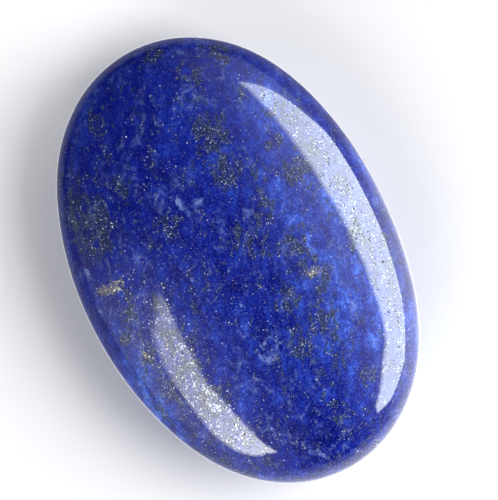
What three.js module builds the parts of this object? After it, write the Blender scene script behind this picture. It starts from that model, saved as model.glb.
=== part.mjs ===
// A palm stone: one piece of lapis lazuli, oval from above and domed on both faces, polished all over
// and made to be held and rubbed in a closed hand. Its length lies along X and its width along Y. It
// rests at z = 0 on a small flat spot in the middle of its lower face, and the origin is the middle of
// that spot. Sizes are in millimetres.

import * as THREE from "three";

const LENGTH = 70;
const WIDTH = 47;
const THICKNESS = 20;

// The widest line round the stone lies under half its height, so that the upper face is the fuller one.
const WIDEST_LINE_HEIGHT = 9.4;

// The flat spot begins where the lower dome has turned this far from its own middle.
const FLAT_SPOT_TURN = THREE.MathUtils.degToRad(16);

// 2 is a true ellipse, and a higher number goes further into the corners.
const OUTLINE_FULLNESS = 2.08;

// How far the domes stand out past a true half ellipse. They do so more at the two ends than at the
// long sides, which leaves the edge about as blunt all the way round.
const DOME_SWELL_AT_SIDES = 0.05;
const DOME_SWELL_AT_ENDS = 0.2;

// Cut and polished by hand, the outline bulges a little more in some places than a true oval does.
const BULGE = 0.15;
const BULGE_LOBES = 3;
const BULGE_DIRECTION = THREE.MathUtils.degToRad(24);

const STEPS_AROUND = 96;
const UPPER_STEPS = 17;
const LOWER_STEPS = 14;

// Distance from the middle to the outline, seen from above, in the direction of an angle.
function outlineReach(angle) {
  const along = Math.abs(Math.cos(angle)) / (LENGTH / 2);
  const across = Math.abs(Math.sin(angle)) / (WIDTH / 2);
  const oval = (along ** OUTLINE_FULLNESS + across ** OUTLINE_FULLNESS) ** (-1 / OUTLINE_FULLNESS);
  return oval + BULGE * Math.cos(BULGE_LOBES * (angle - BULGE_DIRECTION));
}

// Swell of the domes in the direction of an angle, seen from above.
function domeSwell(angle) {
  return THREE.MathUtils.lerp(DOME_SWELL_AT_SIDES, DOME_SWELL_AT_ENDS, Math.cos(angle) ** 2);
}

// The section of the stone as a half ellipse with the reach 1, from the middle of the flat spot, round
// the edge, to the top. y is the real height.
function stoneSection() {
  const points = [new THREE.Vector2(0, 0)];
  for (let step = 0; step < LOWER_STEPS; step += 1) {
    const turn = THREE.MathUtils.lerp(FLAT_SPOT_TURN, Math.PI / 2, step / LOWER_STEPS);
    const height = WIDEST_LINE_HEIGHT * (1 - Math.cos(turn) / Math.cos(FLAT_SPOT_TURN));
    points.push(new THREE.Vector2(Math.sin(turn), height));
  }
  for (let step = 0; step <= UPPER_STEPS; step += 1) {
    const turn = THREE.MathUtils.lerp(Math.PI / 2, 0, step / UPPER_STEPS);
    const height = WIDEST_LINE_HEIGHT + (THICKNESS - WIDEST_LINE_HEIGHT) * Math.cos(turn);
    points.push(new THREE.Vector2(Math.sin(turn), height));
  }
  return points;
}

// The section is turned round the upright axis, then each point is moved out to the oval outline and
// the swell.
function stoneGeometry() {
  const geometry = new THREE.LatheGeometry(stoneSection(), STEPS_AROUND);
  geometry.rotateX(Math.PI / 2);
  const position = geometry.getAttribute("position");
  for (let i = 0; i < position.count; i += 1) {
    const share = Math.hypot(position.getX(i), position.getY(i));
    const angle = Math.atan2(position.getY(i), position.getX(i));
    const swollenShare = share * (1 + domeSwell(angle) * (1 - share ** 2));
    const reach = swollenShare * outlineReach(angle);
    position.setX(i, reach * Math.cos(angle));
    position.setY(i, reach * Math.sin(angle));
  }
  geometry.computeVertexNormals();
  return geometry;
}

function palmStone() {
  const polishedLapis = new THREE.MeshStandardMaterial({
    color: 0x222b85,
    roughness: 0.12,
    metalness: 0,
  });
  const stone = new THREE.Mesh(stoneGeometry(), polishedLapis);
  stone.name = "palm_stone";
  return stone;
}

const part = new THREE.Group();
part.add(palmStone());

export default part;
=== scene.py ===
import math

import bpy
from mathutils import Matrix, Vector


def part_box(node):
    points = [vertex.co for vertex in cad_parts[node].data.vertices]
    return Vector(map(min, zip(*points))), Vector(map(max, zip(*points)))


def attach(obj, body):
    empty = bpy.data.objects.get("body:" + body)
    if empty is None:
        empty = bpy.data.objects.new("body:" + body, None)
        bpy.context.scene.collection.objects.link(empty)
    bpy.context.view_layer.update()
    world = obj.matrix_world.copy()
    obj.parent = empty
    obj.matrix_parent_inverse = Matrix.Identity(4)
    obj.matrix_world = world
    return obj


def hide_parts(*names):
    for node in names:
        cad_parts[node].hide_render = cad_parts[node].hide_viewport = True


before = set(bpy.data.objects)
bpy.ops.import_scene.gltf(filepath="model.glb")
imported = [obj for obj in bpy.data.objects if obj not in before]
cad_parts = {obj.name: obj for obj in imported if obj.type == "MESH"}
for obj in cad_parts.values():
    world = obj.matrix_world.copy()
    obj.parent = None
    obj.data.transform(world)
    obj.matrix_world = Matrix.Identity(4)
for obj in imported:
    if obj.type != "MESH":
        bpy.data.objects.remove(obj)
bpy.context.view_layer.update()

# A palm stone of polished lapis lazuli, lying on a pale floor. Its length lies along X and its width
# along Y. Blender's unit is the metre. The stone's material works in millimetres.
MM = 0.001
LOWEST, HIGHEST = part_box("palm_stone")
MIDDLE = (LOWEST + HIGHEST) / 2
SIZE = HIGHEST - LOWEST

# The camera

# The photograph's longer side, its middle and the stone's middle, in its own pixels. The picture's
# right is turned this far from X, seen from above.
PICTURE_LONG_SIDE = 500
PICTURE_MIDDLE = Vector((249, 250))
STONE_MIDDLE_IN_PICTURE = Vector((235.5, 259.1))
PIXELS_PER_MM = 6.78
PICTURE_TURN = math.radians(62.1)

# The camera looks almost straight down, from a little to the picture's lower right.
CAMERA_LEAN = math.radians(8)
LEAN_DIRECTION_IN_PICTURE = math.radians(-45)
CAMERA_DISTANCE = 480 * MM
SENSOR_MM = 36


def add_camera():
    turn = Matrix.Rotation(PICTURE_TURN, 3, "Z")
    across_lean = Vector((-math.sin(LEAN_DIRECTION_IN_PICTURE), math.cos(LEAN_DIRECTION_IN_PICTURE), 0))
    aim = Matrix.Rotation(CAMERA_LEAN, 3, turn @ across_lean) @ turn
    offset = (PICTURE_MIDDLE - STONE_MIDDLE_IN_PICTURE) / PIXELS_PER_MM * MM
    target = MIDDLE + aim @ Vector((offset.x, -offset.y, 0))
    data = bpy.data.cameras.new("photo_camera")
    data.sensor_width = SENSOR_MM
    data.lens = PIXELS_PER_MM * (CAMERA_DISTANCE / MM) * SENSOR_MM / PICTURE_LONG_SIDE
    camera = bpy.data.objects.new("photo_camera", data)
    camera.matrix_world = Matrix.Translation(target + aim @ Vector((0, 0, CAMERA_DISTANCE))) @ aim.to_4x4()
    bpy.context.scene.collection.objects.link(camera)
    bpy.context.scene.camera = camera


# The stone's shape

# The mesh starts as a cube with this many faces along each edge. The number is even, so that a ring of
# edges runs round the stone at half its height. It is smoothed and subdivided this many times.
CAGE_FACES = 14
SMOOTHING_ROUNDS = 6
DIVISION_LEVELS = 3

# Polishing by hand leaves the surface slightly wavy.
WAVE_HEIGHT = 0.06 * MM
WAVE_LENGTH = 13 * MM

# The closing export tries a UV map of this name when it bakes the stone's colours. A small gap parts
# the map's two ovals.
STONE_UV_MAP = "OFBake"
UV_GAP = 0.01


def apply_modifier(piece, kind, **settings):
    modifier = piece.modifiers.new(kind, kind)
    for name, value in settings.items():
        setattr(modifier, name, value)
    bpy.context.view_layer.objects.active = piece
    bpy.ops.object.modifier_apply(modifier=modifier.name)


def fit_to_size(piece):
    """Stretches the piece's mesh to the stone's exact box."""
    corners = [vertex.co for vertex in piece.data.vertices]
    low = Vector(min(co[axis] for co in corners) for axis in range(3))
    high = Vector(max(co[axis] for co in corners) for axis in range(3))
    scale = Matrix.Diagonal([SIZE[axis] / (high[axis] - low[axis]) for axis in range(3)])
    middle = (low + high) / 2
    piece.data.transform(Matrix.Translation(MIDDLE) @ scale.to_4x4() @ Matrix.Translation(-middle))


def mark_middle_seam(cube):
    """Marks the ring of edges at half the height of a subdivided cube of size 1 as a seam."""
    bpy.ops.object.mode_set(mode="EDIT")
    bpy.ops.mesh.select_mode(type="EDGE")
    bpy.ops.mesh.select_all(action="DESELECT")
    bpy.ops.object.mode_set(mode="OBJECT")
    vertices = cube.data.vertices
    tenth_of_a_face = 0.1 / CAGE_FACES
    for edge in cube.data.edges:
        edge.select = all(abs(vertices[index].co.z) < tenth_of_a_face for index in edge.vertices)
    bpy.ops.object.mode_set(mode="EDIT")
    bpy.ops.mesh.mark_seam()
    bpy.ops.object.mode_set(mode="OBJECT")


def unwrap_stone(stone):
    """Lays the upper and lower face out as two ovals that fill the square, parted at the seam."""
    mesh = stone.data
    while mesh.uv_layers:
        mesh.uv_layers.remove(mesh.uv_layers[0])
    mesh.uv_layers.new(name=STONE_UV_MAP)
    bpy.ops.object.mode_set(mode="EDIT")
    bpy.ops.mesh.select_all(action="SELECT")
    bpy.ops.uv.unwrap(method="CONFORMAL", margin=UV_GAP)
    bpy.ops.object.mode_set(mode="OBJECT")
    places = mesh.uv_layers[STONE_UV_MAP].data
    widest = max(place.uv.x for place in places)
    tallest = max(place.uv.y for place in places)
    for place in places:
        place.uv = (place.uv.x / widest, place.uv.y / tallest)


def model_stone():
    """A cube rounded into an oval pebble, drawn onto the CAD stone's surface and smoothed."""
    bpy.ops.object.select_all(action="DESELECT")
    bpy.ops.mesh.primitive_cube_add(size=1, location=MIDDLE)
    stone = bpy.context.active_object
    stone.name = "polished_palm_stone"
    bpy.ops.object.mode_set(mode="EDIT")
    bpy.ops.mesh.subdivide(number_cuts=CAGE_FACES - 1)
    bpy.ops.object.mode_set(mode="OBJECT")
    mark_middle_seam(stone)
    apply_modifier(stone, "CAST", cast_type="SPHERE", factor=1.0, size=0.5, use_radius_as_size=False)
    stone.scale = SIZE
    bpy.ops.object.transform_apply(location=True, rotation=True, scale=True)
    apply_modifier(stone, "SHRINKWRAP", target=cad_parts["palm_stone"])
    apply_modifier(stone, "SMOOTH", factor=0.5, iterations=SMOOTHING_ROUNDS)
    unwrap_stone(stone)
    apply_modifier(stone, "SUBSURF", levels=DIVISION_LEVELS, render_levels=DIVISION_LEVELS)
    waves = bpy.data.textures.new("polishing_waves", "CLOUDS")
    waves.noise_scale = WAVE_LENGTH
    apply_modifier(stone, "DISPLACE", texture=waves, strength=2 * WAVE_HEIGHT, mid_level=0.5)
    fit_to_size(stone)
    bpy.ops.object.shade_smooth()
    return stone


# Materials as expressions


class Shade:
    """One output of a node, for writing a material as expressions. Arithmetic adds Math nodes. One with
    no output is the start of a tree, from which its first nodes are made."""

    def __init__(self, tree, output=None):
        self.tree = tree
        self.output = output

    def node(self, kind, settings=None, sockets=None, out=0):
        """Adds a node of the kind: its settings first, then values or links for its sockets."""
        made = self.tree.nodes.new(kind)
        for name, value in (settings or {}).items():
            if name == "stops":
                set_stops(made.color_ramp, value)
            else:
                setattr(made, name, value)
        for name, value in (sockets or {}).items():
            if isinstance(value, Shade):
                self.tree.links.new(value.output, made.inputs[name])
            else:
                made.inputs[name].default_value = value
        return Shade(self.tree, made.outputs[out])

    def other(self, out):
        """Another output of the same node."""
        return Shade(self.tree, self.output.node.outputs[out])

    def maths(self, operation, first, second=0.0):
        return self.node("ShaderNodeMath", {"operation": operation}, {0: first, 1: second})

    def __add__(self, other):
        return self.maths("ADD", self, other)

    def __radd__(self, other):
        return self.maths("ADD", other, self)

    def __sub__(self, other):
        return self.maths("SUBTRACT", self, other)

    def __rsub__(self, other):
        return self.maths("SUBTRACT", other, self)

    def __mul__(self, other):
        return self.maths("MULTIPLY", self, other)

    def __rmul__(self, other):
        return self.maths("MULTIPLY", other, self)

    def __truediv__(self, other):
        return self.maths("DIVIDE", self, other)

    def __rtruediv__(self, other):
        return self.maths("DIVIDE", other, self)

    def __lt__(self, other):
        return self.maths("LESS_THAN", self, other)

    def __abs__(self):
        return self.maths("ABSOLUTE", self)

    def at_least(self, other):
        return self.maths("MAXIMUM", self, other)

    def rise(self, start, end):
        """0 up to start and 1 from end on, with a smooth rise between. start may be the higher one."""
        limits = {"Value": self, "From Min": start, "From Max": end}
        return self.node("ShaderNodeMapRange", {"interpolation_type": "SMOOTHSTEP"}, limits)

    def vector(self, operation, other=(0, 0, 0), out=0):
        """Vector maths with another vector."""
        return self.node("ShaderNodeVectorMath", {"operation": operation}, {0: self, 1: other}, out)

    def scaled(self, factor):
        """The vector times a number."""
        return self.node("ShaderNodeVectorMath", {"operation": "SCALE"}, {0: self, "Scale": factor})

    def turned(self, angle):
        """The vector turned about Z."""
        sockets = {"Vector": self, "Angle": angle}
        return self.node("ShaderNodeVectorRotate", {"rotation_type": "Z_AXIS"}, sockets)

    def part(self, axis):
        """The X, Y or Z part of a vector, or the first, second or third random number of a colour."""
        return self.node("ShaderNodeSeparateXYZ", None, {0: self}, axis)

    def blend(self, first, second):
        """The first colour where this value is 0, the second where it is 1."""
        return self.node("ShaderNodeMix", {"data_type": "RGBA"}, {0: self, 6: first, 7: second}, 2)

    def ramp(self, stops):
        """A colour for each value, from (value, colour) stops."""
        return self.node("ShaderNodeValToRGB", {"stops": stops}, {0: self})


def set_stops(color_ramp, stops):
    while len(color_ramp.elements) < len(stops):
        color_ramp.elements.new(1.0)
    for element, (value, color) in zip(color_ramp.elements, stops):
        element.position = value
        element.color = color


def new_material(name):
    """A plain material and its Principled shader's node."""
    material = bpy.data.materials.new(name)
    material.use_nodes = True
    return material, material.node_tree.nodes["Principled BSDF"]


def feed(shader, **sockets):
    """Sets values or links on the shader's sockets. An underscore in a name stands for a space."""
    for name, value in sockets.items():
        socket = shader.inputs[name.replace("_", " ")]
        if isinstance(value, Shade):
            value.tree.links.new(value.output, socket)
        else:
            socket.default_value = value


# The lapis

# A place is a position in millimetres. A colour is linear red, green and blue, with an alpha of 1. A
# ramp's stops are (value, colour), from the darkest to the brightest.
BLUES = [
    (0.15, (0.0008, 0.0025, 0.105, 1)),
    (0.28, (0.0016, 0.0046, 0.150, 1)),
    (0.50, (0.0044, 0.0132, 0.228, 1)),
    (0.72, (0.0145, 0.0430, 0.380, 1)),
    (0.86, (0.0330, 0.0950, 0.570, 1)),
    (1.00, (0.0900, 0.2150, 0.750, 1)),
]

# Pyrite flecks look golden where they are crowded most, and silvery elsewhere. A fleck's place on these
# ramps is partly its own tone and partly a painted glint, up to nearly white.
SILVERY_PYRITE_AND_GLINT = [
    (0.0, (0.004, 0.008, 0.050, 1)),
    (0.18, (0.006, 0.012, 0.070, 1)),
    (0.30, (0.090, 0.125, 0.400, 1)),
    (0.65, (0.210, 0.260, 0.600, 1)),
    (0.88, (0.400, 0.460, 0.820, 1)),
    (1.0, (0.860, 0.900, 1.000, 1)),
]
GOLDEN_PYRITE_AND_GLINT = [
    (0.0, (0.010, 0.012, 0.040, 1)),
    (0.16, (0.016, 0.018, 0.040, 1)),
    (0.30, (0.130, 0.138, 0.120, 1)),
    (0.65, (0.360, 0.350, 0.260, 1)),
    (0.88, (0.720, 0.690, 0.500, 1)),
    (1.0, (1.000, 0.970, 0.780, 1)),
]

# The matrix holds the pyrite together where it is almost solid.
PYRITE_MATRIX = (0.230, 0.205, 0.160, 1)
DARK_SLATE = (0.0105, 0.020, 0.068, 1)
GREEN_SLATE = (0.022, 0.038, 0.066, 1)
PALE_CALCITE = (0.140, 0.200, 0.480, 1)
BLUE_GRIT = (0.060, 0.090, 0.400, 1)
GREY_GRIT = (0.095, 0.120, 0.270, 1)

# The polish. Glints are grains with a coat that mirrors more than the rest of the stone. A pit's depth
# is in millimetres.
STONE_IOR = 1.62
GLINT_IOR = 2.3
GLINT_ROUGHNESS = 0.06
PYRITE_METALNESS = 0.28
PIT_DEPTH = 0.05

# The grain runs at a slight turn from the stone's length. Lumps are this much longer along it.
GRAIN_TURN = math.radians(20)
GRAIN_STRETCH = (1.7, 1.0, 1.1)

# Dark patches full of pyrite on the upper face: x, y and radius in mm, and how dark it is. Each fades
# out at this many times its radius, along X and along Y.
DARK_PATCHES = [
    (-26.6, 7.0, 2.2, 0.9), (-27.4, 11.9, 2.6, 0.8), (-31.8, 3.2, 1.8, 0.6), (-21.6, 6.1, 2.0, 0.6),
    (-17.0, 5.5, 3.2, 0.9), (-10.8, 5.2, 2.6, 0.9), (-19.9, 11.7, 2.0, 0.5), (-16.5, -9.5, 2.8, 0.6),
    (-29.7, -3.3, 1.8, 0.5), (-26.2, -8.8, 2.6, 0.7), (-21.7, -9.6, 1.8, 0.5), (-7.5, -6.1, 2.0, 0.8),
    (-11.6, 12.7, 1.6, 0.6), (-6.5, 14.3, 2.6, 0.8), (-8.3, 9.4, 2.2, 0.5), (-4.4, 8.4, 2.4, 0.6),
    (3.5, 9.2, 2.6, 0.7), (-0.4, 2.5, 2.6, 0.8), (2.7, 5.0, 1.8, 0.6), (8.2, 9.4, 2.6, 0.9),
    (9.8, 4.2, 2.4, 0.7), (15.2, 7.2, 2.6, 0.9), (16.8, 3.0, 2.4, 0.9), (20.2, 7.5, 1.8, 0.6),
    (24.6, 9.2, 1.6, 0.9), (21.6, 3.8, 1.6, 0.5), (25.4, 2.6, 2.0, 0.5), (28.1, 3.4, 2.2, 0.6),
    (1.6, -17.4, 2.6, 0.5), (7.6, -17.3, 2.2, 0.7), (13.0, -16.8, 2.6, 0.6), (3.3, -19.5, 1.0, 0.8),
    (1.3, -12.3, 2.0, 0.7), (7.5, -12.8, 2.6, 0.9), (12.8, -12.7, 2.4, 0.9), (18.2, -12.2, 2.8, 0.9),
    (23.6, -10.4, 2.4, 0.7), (-14.5, 15.6, 2.2, 0.6), (-8.0, 17.6, 2.4, 0.7), (-1.0, 18.4, 2.4, 0.7),
    (6.5, 17.6, 2.6, 0.7), (13.5, 17.6, 2.0, 0.5),
]
PATCH_REACH_ALONG = 1.7
PATCH_REACH_ACROSS = 1.4

# A grey-green haze with pyrite in it, near the stone's left edge in the photograph: x, y, half length
# along X and half width along Y.
GREEN_HAZE = (-14.0, -16.5, 9.5, 5.5)

# Places where the pyrite is almost solid: x, y, half length, half width in mm and the turn of its
# length from X, in degrees.
GOLD_STREAKS = [
    (-3.8, -17.4, 4.6, 1.6, 104), (-4.4, -19.0, 1.5, 2.2, 0), (24.7, 9.3, 1.3, 0.8, 30),
    (9.8, -11.6, 0.9, 0.7, 0), (8.4, 9.4, 1.9, 1.4, 60), (7.0, -17.8, 1.2, 0.8, 0),
    (16.5, -16.8, 1.0, 0.7, 20),
]

# A stretch strewn with pyrite, under the lesser window's reflection in the photograph: x, y, half
# length and half width in mm.
PYRITE_DUST = (13.0, -15.0, 22.0, 7.0)

# Pale calcite on the upper face: x, y, half length along X, half width along Y and strength. Each spot
# fades out at this many times its half length and half width.
CALCITE_SPOTS = [
    (14.0, -2.3, 0.8, 0.5, 1.0), (15.4, -2.9, 0.9, 0.4, 0.9), (16.2, -1.9, 0.6, 0.6, 0.9),
    (14.9, 0.4, 0.4, 0.8, 0.6), (-9.5, -3.0, 1.2, 0.6, 1.1), (-8.6, -0.5, 0.7, 0.7, 1.0),
    (-18.9, -6.0, 0.4, 0.35, 0.9), (-21.2, -6.3, 0.4, 0.4, 0.6), (-13.9, -5.4, 0.6, 0.4, 0.7),
    (-12.0, -5.7, 0.5, 0.5, 0.7), (-7.7, -20.2, 1.4, 0.7, 0.7), (-1.3, -21.2, 1.8, 0.5, 0.7),
    (0.3, -14.6, 2.2, 1.0, 0.6), (5.8, -16.9, 2.4, 1.2, 0.4), (9.9, -21.2, 1.6, 0.6, 0.6),
    (13.1, -19.1, 1.6, 0.7, 0.5), (1.1, -6.5, 0.8, 0.6, 0.7), (7.7, -2.1, 0.6, 0.5, 0.8),
    (11.5, -3.5, 0.5, 0.5, 0.8), (7.8, -6.2, 1.4, 0.4, 0.4), (26.3, 0.7, 1.1, 0.6, 0.8),
    (26.0, -1.4, 0.7, 0.7, 0.7), (19.3, -6.5, 1.2, 0.5, 0.5), (28.9, -3.4, 1.2, 0.8, 0.7),
    (31.4, -1.9, 1.2, 0.6, 0.8), (31.2, -0.1, 0.7, 0.9, 0.6), (21.4, -3.5, 1.0, 0.9, 0.4),
]
SPOT_REACH = 1.5

# A broken ring of calcite: x, y, half length, half width in mm and the turn of its length from X, in
# degrees. Its band is this share of the reach wide on either side.
CALCITE_RING = (15.2, -1.3, 1.7, 1.0, -28)
RING_BAND = 0.6

# Zones where the blue is a brighter cobalt, partly the stone's own and partly painted light on the sides
# that the windows light: x, y, half length, half width and strength.
COBALT_AND_LIT_ZONES = [
    (-5.4, 11.1, 5.5, 3.6, 1.0), (-18.0, 14.5, 9.0, 5.5, 1.4), (7.0, 12.5, 29.0, 9.5, 0.9),
    (24.0, 19.0, 14.0, 5.0, 1.4), (12.0, -20.5, 12.0, 4.0, 1.3),
]

# Zones where it is a darker navy, partly the stone's own and partly painted shade: x, y, half length and
# half width.
NAVY_AND_SHADED_ZONES = [(-16.0, -8.0, 17.0, 9.0), (-14.0, -16.5, 10.0, 6.0), (28.5, -3.5, 8.0, 10.0)]


def cloud(place, size, detail, roughness=0.55, out=0):
    """Random lumps about size mm across, mostly between 0.3 and 0.7."""
    sockets = {"Vector": place, "Scale": 1 / size, "Detail": detail, "Roughness": roughness}
    return place.node("ShaderNodeTexNoise", None, sockets, out)


def along_grain(place):
    """The place turned and squeezed, so that round lumps come out long along the grain."""
    return place.turned(GRAIN_TURN).vector("DIVIDE", GRAIN_STRETCH)


def centred(random_colour):
    """The colour's random numbers as a vector, each from -0.5 to 0.5."""
    return random_colour.vector("SUBTRACT", (0.5, 0.5, 0.5))


def stirred(place, size, distance):
    """The place moved at random by up to about distance mm, to break up regular shapes."""
    push = centred(cloud(place, size, detail=2, out="Color")).scaled(2 * distance)
    return place.vector("ADD", push)


class Grains:
    """Small grains, at most one in each cell of a loose 3D grid."""

    def __init__(self, place, spacing):
        sockets = {"Vector": place, "Scale": 1 / spacing, "Randomness": 1.0}
        self.cells = place.node("ShaderNodeTexVoronoi", None, sockets, "Distance")
        self.spacing = spacing
        self.place = place
        self.random = self.cells.other("Color")

    def show(self, share, smallest, largest, softness):
        """1 inside a grain, with an edge that is softness mm wide. A share of the cells has one, with a
        radius from smallest to largest."""
        kept = self.random.part(0) < share
        radius = self.random.part(1) * (largest - smallest) + smallest
        inside = radius - self.cells * self.spacing
        return inside.rise(0, softness) * kept

    def slope(self, steepness):
        """Height in mm of a plane through each cell's point, leaning a random way."""
        centre = self.cells.other("Position").scaled(self.spacing)
        offset = self.place.vector("SUBTRACT", centre)
        return offset.vector("DOT_PRODUCT", centred(self.random), "Value") * steepness


def face_height(x, y):
    """Height in mm of the stone's upper face above the floor, taken as half an ellipsoid."""
    along = (x * MM - MIDDLE.x) / (SIZE.x / 2)
    across = (y * MM - MIDDLE.y) / (SIZE.y / 2)
    dome = math.sqrt(max(0.0, 1 - along ** 2 - across ** 2))
    return (MIDDLE.z + dome * SIZE.z / 2) / MM


def oval_reach(place, x, y, half_length, half_width, turn=0):
    """0 at a point of the upper face, rising evenly to 1 at the edge of an oval round it."""
    offset = place.vector("SUBTRACT", (x, y, face_height(x, y)))
    if turn:
        offset = offset.turned(-math.radians(turn))
    depth = max(half_length, half_width)
    return offset.vector("DIVIDE", (half_length, half_width, depth)).vector("LENGTH", out="Value")


def nearness(place, x, y, half_length, half_width, turn=0):
    """1 at a point of the upper face, falling evenly to 0 at the edge of an oval round it."""
    return (1 - oval_reach(place, x, y, half_length, half_width, turn)).at_least(0)


def strongest(values):
    """The largest of several values at each place."""
    found = values[0]
    for value in values[1:]:
        found = found.at_least(value)
    return found


def lazurite_blue_and_light(coarse, fine, grained, lively_and_lit):
    """The blue, in broad zones, in clouds along the grain and in a fine mottle. The cobalt zones are
    partly painted light and the navy ones partly painted shade, and the mottle is stronger towards the lit
    end, partly as painted light.
    """
    broad = cloud(grained, size=12, detail=2, roughness=0.5) - 0.5
    clouds = cloud(grained, size=2.0, detail=4, roughness=0.62) - 0.5
    mottle = cloud(fine, size=0.45, detail=3, roughness=0.75) - 0.5
    # Cobalt zones are partly painted light, and navy zones partly painted shade.
    cobalt_and_lit = strongest([
        nearness(coarse, x, y, half_length, half_width).rise(0, 0.9) * strength
        for x, y, half_length, half_width, strength in COBALT_AND_LIT_ZONES
    ])
    navy_and_shaded = strongest([nearness(coarse, *zone).rise(0, 0.9) for zone in NAVY_AND_SHADED_ZONES])
    texture = (clouds * 1.3 + mottle * 0.9) * (lively_and_lit * 0.5 + 0.7)
    tone = broad * 0.4 + texture + cobalt_and_lit * 0.25 - navy_and_shaded * 0.12 + 0.46
    return tone.ramp(BLUES)


def dark_mixture(coarse, grained):
    """Where the stone is a dark mixture rich in pyrite, and where the grey-green haze lies, 0 to 1."""
    patches = strongest([
        nearness(coarse, x, y, PATCH_REACH_ALONG * radius, PATCH_REACH_ACROSS * radius) * darkness
        for x, y, radius, darkness in DARK_PATCHES
    ])
    haze = nearness(coarse, *GREEN_HAZE)
    scattered = cloud(grained, size=5.0, detail=3, roughness=0.6).rise(0.50, 0.68) * 0.6
    zone = patches.at_least(haze).rise(0, 0.6).at_least(scattered)
    clusters = cloud(grained, size=1.1, detail=4, roughness=0.68)
    rags = cloud(grained, size=1.4, detail=4, roughness=0.7)
    ragged_haze = (haze.rise(0, 0.7) * 0.5 + rags * 3.0 - 1.75).rise(0, 0.7)
    return (clusters + zone * 0.175).rise(0.57, 0.71), ragged_haze


def calcite(place, coarse, grained):
    """Where pale calcite lies, in blotches, a ring, clouds and threads, all with broken edges."""
    spots = strongest([
        nearness(coarse, x, y, SPOT_REACH * half_length, SPOT_REACH * half_width) * strength
        for x, y, half_length, half_width, strength in CALCITE_SPOTS
    ])
    ring = (1 - abs(oval_reach(place, *CALCITE_RING) - 1) / RING_BAND).at_least(0)
    rags = cloud(place, size=0.9, detail=5, roughness=0.8)
    blotches = (spots.at_least(ring * 0.6) * 1.5 + rags * 3.4 - 2.2).rise(0, 0.8)
    broken = cloud(place, size=0.8, detail=4, roughness=0.7).rise(0.42, 0.62)
    clouds = cloud(grained, size=2.4, detail=5, roughness=0.7).rise(0.50, 0.72) * broken * 0.55
    thread_cloud = cloud(grained, size=6.0, detail=3, roughness=0.55) - 0.5
    thread = (1 - abs(thread_cloud) * 30).at_least(0)
    threads = thread * cloud(place, size=5.0, detail=3).rise(0.50, 0.62) * broken * 0.6
    return blotches.at_least(clouds).at_least(threads)


def solid_pyrite(place, coarse):
    """Where the pyrite is almost solid, with broken edges."""
    streaks = strongest([nearness(coarse, *place_and_size) for place_and_size in GOLD_STREAKS])
    rags = cloud(place, size=0.7, detail=4, roughness=0.8)
    return (streaks * 1.8 + rags * 3.8 - 2.6).rise(0, 0.8)


def pyrite_dust(coarse, grained):
    """Where the stone is strewn with pyrite, in small patches."""
    patches = cloud(grained, size=0.9, detail=3, roughness=0.6).rise(0.40, 0.60)
    return nearness(coarse, *PYRITE_DUST).rise(0, 0.5) * patches


def pyrite_flecks(fine, mixture, haze, solid, dust, lively_and_lit):
    """Many small flecks and fewer large ones, crowded in the dark mixture: where they are, how bright each
    one is and the height in mm of their tilted faces.
    How bright a fleck is stands partly for its own tone and partly for a painted glint."""
    small = Grains(fine, spacing=0.28)
    large = Grains(fine, spacing=0.56)
    # Flecks crowd more towards the lit end: partly the stone's own, partly painted light.
    richness_and_light = lively_and_lit * 1.1 + 0.55
    small_share = (mixture * 1.25 + 0.06) * richness_and_light + dust * 0.45 + haze * 0.60 + solid
    large_share = (mixture * 0.82 + 0.01) * richness_and_light + dust * 0.45 + haze * 0.45 + solid
    small_flecks = small.show(small_share, smallest=0.05, largest=0.12, softness=0.04)
    large_flecks = large.show(large_share, smallest=0.06, largest=solid * 0.16 + 0.17, softness=0.05)
    # Each fleck's brightness is partly its own tone and partly a painted glint.
    tone_and_glint = small.random.part(2) * (1 - large_flecks) + large.random.part(2) * large_flecks
    tone_and_glint = tone_and_glint * (solid * 0.9 + dust * 0.25 + 1)
    tilt = small.slope(steepness=0.14) * small_flecks + large.slope(steepness=0.5) * large_flecks
    return small_flecks.at_least(large_flecks), tone_and_glint, tilt


def pits_and_glints(place, fine, grained, mixture, dust):
    """Small pits in the polish, and grains that stand out bright in a reflection. Both lie in rows along
    the grain."""
    rows = cloud(grained, size=1.6, detail=3, roughness=0.6).rise(0.42, 0.60)
    pit_share = rows * 0.45 + mixture * 0.30 + dust * 0.45 + 0.10
    pits = Grains(place, spacing=0.28).show(pit_share, smallest=0.04, largest=0.12, softness=0.03)
    glint_share = rows * 0.42 + mixture * 0.35 + dust * 0.42 + 0.05
    glints = Grains(fine, spacing=0.27).show(
        glint_share, smallest=0.04, largest=dust * 0.06 + 0.12, softness=0.03,
    )
    return pits, glints


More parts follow.
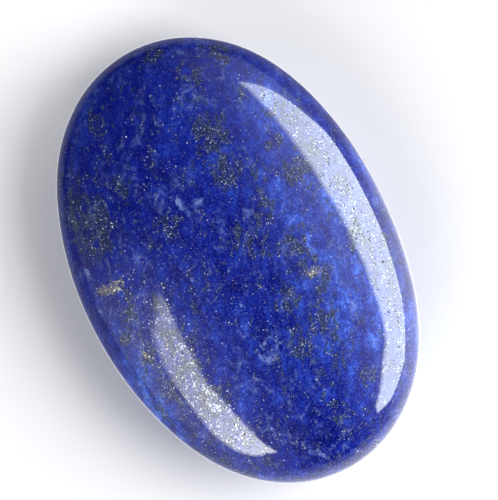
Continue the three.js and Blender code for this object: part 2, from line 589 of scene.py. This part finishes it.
def polished_lapis():
    material, shader = new_material("polished_lapis")
    start = Shade(material.node_tree)
    place = start.node("ShaderNodeTexCoord", out="Object").vector("DIVIDE", (MM, MM, MM))
    coarse = stirred(stirred(place, size=3.0, distance=0.9), size=0.9, distance=0.3)
    fine = stirred(place, size=0.35, distance=0.06)
    grained = along_grain(coarse)

    # Towards one end of the stone the blue is mottled more, and there is more pyrite and grit. That end is
    # the one the windows light most, so this is partly the stone's own and partly painted light.
    lively_and_lit = (place.part(0) + place.part(1) * 0.5).rise(-30, 14)
    mixture, haze = dark_mixture(coarse, grained)
    solid = solid_pyrite(place, coarse)
    dust = pyrite_dust(coarse, grained)
    flecks, tone_and_glint, tilt = pyrite_flecks(fine, mixture, haze, solid, dust, lively_and_lit)
    pits, glints = pits_and_glints(place, fine, grained, mixture, dust)

    # Over the blue come the dark mixture, the calcite, a fine pale grit and the pyrite, in turn. The
    # pyrite's brighter flecks are painted glints as well as its own colour.
    colour = lazurite_blue_and_light(coarse, fine, grained, lively_and_lit)
    broken = cloud(fine, size=0.40, detail=3, roughness=0.7).rise(0.36, 0.54) * 0.42 + 0.58
    colour = (mixture.at_least(haze) * broken).blend(colour, haze.blend(DARK_SLATE, GREEN_SLATE))
    colour = calcite(place, coarse, grained).blend(colour, PALE_CALCITE)
    grit = cloud(fine, size=0.22, detail=2, roughness=0.6) + mixture * 0.05 + lively_and_lit * 0.04
    colour = grit.rise(0.60, 0.76).blend(colour, mixture.blend(BLUE_GRIT, GREY_GRIT))
    colour = (solid * 0.65).blend(colour, PYRITE_MATRIX)
    golden = cloud(place, size=2.2, detail=3).rise(0.48, 0.60) * mixture * 0.4
    golden = golden.at_least(solid).at_least(haze * 0.5)
    fleck_colour_and_glint = golden.blend(tone_and_glint.ramp(SILVERY_PYRITE_AND_GLINT), tone_and_glint.ramp(GOLDEN_PYRITE_AND_GLINT))
    colour = flecks.blend(colour, fleck_colour_and_glint)

    # The polish is glossy all over, and a little duller at flecks, pits and faint smears.
    height = tilt - pits * PIT_DEPTH
    bump = start.node("ShaderNodeBump", None, {"Strength": 1.0, "Distance": MM, "Height": height})
    smears = cloud(place, size=6, detail=4)
    roughness = 0.05 + mixture * 0.04 + flecks * 0.06 + pits * 0.2 + smears * 0.04
    feed(shader, Base_Color=colour, Metallic=flecks * PYRITE_METALNESS, Roughness=roughness)
    feed(shader, Normal=bump, IOR=STONE_IOR)
    feed(shader, Coat_Weight=glints, Coat_Roughness=GLINT_ROUGHNESS, Coat_IOR=GLINT_IOR)
    return material


# The stage

# Half the side of the square floor, in metres. The backdrop stands just inside its edges.
STUDIO_HALF = 3.0
BACKDROP_RADIUS = 0.98 * STUDIO_HALF
BLACK = (0, 0, 0, 1)

# The two windows that the polish mirrors, as upright panels at this distance on either side of the
# stone. Their corners are (x, z) in metres: along the soft edge, and then round the rest.
WINDOW_DISTANCE = 1.0
WINDOW_STRENGTH = 10.8
SOFT_EDGE_INSIDE = 0.07
SOFT_EDGE_OUTSIDE = 0.12
BRIGHT_WINDOW_COLOUR = (0.92, 1.0, 0.94, 1)
BRIGHT_WINDOW_TOP = [
    (-1.13, 1.05), (-0.25, 1.00), (0.36, 0.77), (0.50, 0.75), (0.62, 0.81), (0.80, 0.92), (1.80, 0.95),
]
BRIGHT_WINDOW_REST = [(1.90, 0.65), (1.40, 0.20), (0.80, 0.03), (0.70, 0.00), (-0.30, 0.00)]
LESSER_WINDOW_COLOUR = (0.98, 1.0, 0.96, 1)
LESSER_WINDOW_FOOT = [(-0.10, 1.10), (0.00, 0.88), (0.45, 0.46), (0.72, 0.38), (0.95, 0.50), (1.10, 0.66)]
LESSER_WINDOW_REST = [(1.45, 1.08), (0.95, 1.28), (0.50, 1.55), (0.25, 1.47), (-0.25, 1.80)]

# The ground that the polish mirrors is a sheet just above the floor.
GROUND_GLOW_HEIGHT = 0.3 * MM
GROUND_GLOW_COLOUR = (0.97, 0.99, 1.0, 1)
GROUND_GLOW_STRENGTH = 3.6

# Two wide lamps that don't show in the polish: name, place in metres and power in watts.
LAMP_WIDTH = 0.9
LAMPS = [("window_side_lamp", (0.55, 0.8, 0.9), 16), ("far_side_lamp", (0.7, -0.8, 0.7), 8.5)]

# The light that comes from all round.
STUDIO_COLOUR = (0.96, 0.98, 1.0, 1)


def pale_floor_finish():
    material, shader = new_material("pale_floor")
    feed(shader, Base_Color=(0.86, 0.86, 0.865, 1), Roughness=0.6, Specular_IOR_Level=0.0)
    return material


def give_light(shader, colour, strength):
    """Makes the shader give light and mirror nothing."""
    feed(shader, Base_Color=BLACK, Specular_IOR_Level=0.0)
    feed(shader, Emission_Color=colour, Emission_Strength=strength)


def backdrop_finish():
    material, shader = new_material("pale_backdrop")
    give_light(shader, colour=(0.96, 0.97, 1.0, 1), strength=0.8)
    return material


def window_finish(name, colour, dimmest, dim_end, bright_end):
    """A window's light. It rises from the dimmest share of its strength at the dim end's x to the
    whole at the bright end's, and fades at the window's soft edge."""
    material, shader = new_material(name)
    start = Shade(material.node_tree)
    x = start.node("ShaderNodeTexCoord", out="Object").part(0)
    along = x.rise(dim_end, bright_end) * (1 - dimmest) + dimmest
    fade = start.node("ShaderNodeAttribute", {"attribute_name": "fade"}, out="Fac")
    give_light(shader, (along * fade).blend(BLACK, colour), WINDOW_STRENGTH)
    return material


def ground_glow_finish():
    """The ground's light: dark at one end, brightest on the bright window's side, and never dark close
    to the stone."""
    material, shader = new_material("ground_glow")
    place = Shade(material.node_tree).node("ShaderNodeTexCoord", out="Object")
    direction = place.vector("NORMALIZE")

    def towards(degrees):
        """1 in this direction from X, seen from above, and -1 in the opposite one."""
        axis = (math.cos(math.radians(degrees)), math.sin(math.radians(degrees)), 0)
        return direction.vector("DOT_PRODUCT", axis, "Value")

    # The reach is 1 at an oval as long and as wide as the stone.
    reach = place.vector("DIVIDE", (SIZE.x / 2, SIZE.y / 2, 1)).vector("LENGTH", out="Value")
    far = towards(15).rise(-1.0, 0.5) * 0.20 + towards(62).rise(0.78, 1.0) * 0.55
    close = towards(60).rise(-0.6, 1.0) * towards(-10).rise(-0.9, 0.3) * 0.56 + 0.09
    closeness = reach.rise(3.0, 1.4)
    at_the_stone = reach.rise(1.30, 1.10) * 0.45
    level = (far + (close - far) * closeness).at_least(at_the_stone)
    give_light(shader, level.blend(BLACK, GROUND_GLOW_COLOUR), GROUND_GLOW_STRENGTH)
    return material


def show_only_in_polish(panel):
    panel.visible_camera = False
    panel.visible_diffuse = False
    panel.visible_shadow = False


def add_stage_plane(name, size, height, finish):
    bpy.ops.object.select_all(action="DESELECT")
    bpy.ops.mesh.primitive_plane_add(size=size, location=(0, 0, height))
    plane = bpy.context.active_object
    plane.name = name
    plane.data.materials.append(finish)
    return plane


def add_backdrop():
    """A pale wall round the floor, for views from low down. It lights nothing."""
    bpy.ops.object.select_all(action="DESELECT")
    bpy.ops.mesh.primitive_cylinder_add(
        vertices=64, radius=BACKDROP_RADIUS, depth=2 * STUDIO_HALF, end_fill_type="NOTHING",
    )
    wall = bpy.context.active_object
    wall.name = "backdrop"
    wall.data.materials.append(backdrop_finish())
    wall.visible_diffuse = False
    wall.visible_glossy = False
    wall.visible_shadow = False


def add_window(name, soft_edge, rest, side, outwards, finish):
    """An upright panel that shows in the polish, but doesn't light anything. side is 1 towards +Y and
    -1 towards -Y. outwards is 1 where its soft edge is the upper one and -1 where it is the lower one."""
    y = side * WINDOW_DISTANCE
    inner = [(x, y, z - outwards * SOFT_EDGE_INSIDE) for x, z in soft_edge]
    outer = [(x, y, z + outwards * SOFT_EDGE_OUTSIDE) for x, z in soft_edge]
    full = inner + [(x, y, z) for x, z in rest]
    faces = [list(range(len(full)))]
    for i in range(len(soft_edge) - 1):
        faces.append([i, i + 1, len(full) + i + 1, len(full) + i])
    mesh = bpy.data.meshes.new(name)
    mesh.from_pydata(full + outer, [], faces)
    fade = mesh.attributes.new("fade", "FLOAT", "POINT")
    for i in range(len(full)):
        fade.data[i].value = 1.0
    panel = bpy.data.objects.new(name, mesh)
    panel.data.materials.append(finish)
    show_only_in_polish(panel)
    bpy.context.scene.collection.objects.link(panel)


def add_soft_lamp(name, place, power):
    """A wide lamp aimed at the stone."""
    data = bpy.data.lights.new(name, "AREA")
    data.size = LAMP_WIDTH
    data.energy = power
    lamp = bpy.data.objects.new(name, data)
    lamp.location = place
    lamp.rotation_euler = (MIDDLE - Vector(place)).to_track_quat("-Z", "Y").to_euler()
    lamp.visible_glossy = False
    bpy.context.scene.collection.objects.link(lamp)


def light_studio():
    """Light from all round: hardly any beyond the stone's ends, and the most over and beside the bright
    window."""
    world = bpy.data.worlds.new("studio")
    bpy.context.scene.world = world
    world.use_nodes = True
    start = Shade(world.node_tree)
    direction = start.node("ShaderNodeTexCoord", out="Generated")
    x = direction.part(0)
    y = direction.part(1)
    height = direction.part(2).at_least(0)
    bright_side = y.at_least(0) * y
    lesser_side = (0 - y).at_least(0) * (0 - y)
    bright_low = bright_side * (x.at_least(0) * 1.5 + 1.1)
    lesser_low = lesser_side * (x * 0.9 + 0.75).at_least(0)
    low = (1 - height) * (1 - height) * (bright_low + lesser_low)
    over_windows = height * (bright_side * 4.2 + lesser_side * x.rise(-0.35, 0.0) * 2.3)
    strength = height * 0.035 + 0.005 + low + over_windows
    background = world.node_tree.nodes["Background"]
    background.inputs["Color"].default_value = STUDIO_COLOUR
    world.node_tree.links.new(strength.output, background.inputs["Strength"])


# The scene

add_camera()
stone = model_stone()
stone.data.materials.clear()
stone.data.materials.append(polished_lapis())
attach(stone, "root")
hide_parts("palm_stone")

add_stage_plane("floor", 2 * STUDIO_HALF, 0, pale_floor_finish())
ground_glow = add_stage_plane("ground_glow", 2 * WINDOW_DISTANCE, GROUND_GLOW_HEIGHT, ground_glow_finish())
show_only_in_polish(ground_glow)
add_backdrop()
bright_light = window_finish(
    "bright_window", BRIGHT_WINDOW_COLOUR, dimmest=0.66, dim_end=-0.9, bright_end=0.0,
)
add_window("bright_window", BRIGHT_WINDOW_TOP, BRIGHT_WINDOW_REST, side=1, outwards=1, finish=bright_light)
lesser_light = window_finish(
    "lesser_window", LESSER_WINDOW_COLOUR, dimmest=0.42, dim_end=-0.1, bright_end=1.2,
)
add_window(
    "lesser_window", LESSER_WINDOW_FOOT, LESSER_WINDOW_REST, side=-1, outwards=-1, finish=lesser_light,
)
for name, place, power in LAMPS:
    add_soft_lamp(name, place, power)
light_studio()
bpy.context.scene.view_settings.view_transform = "Standard"
bpy.context.scene.view_settings.look = "None"
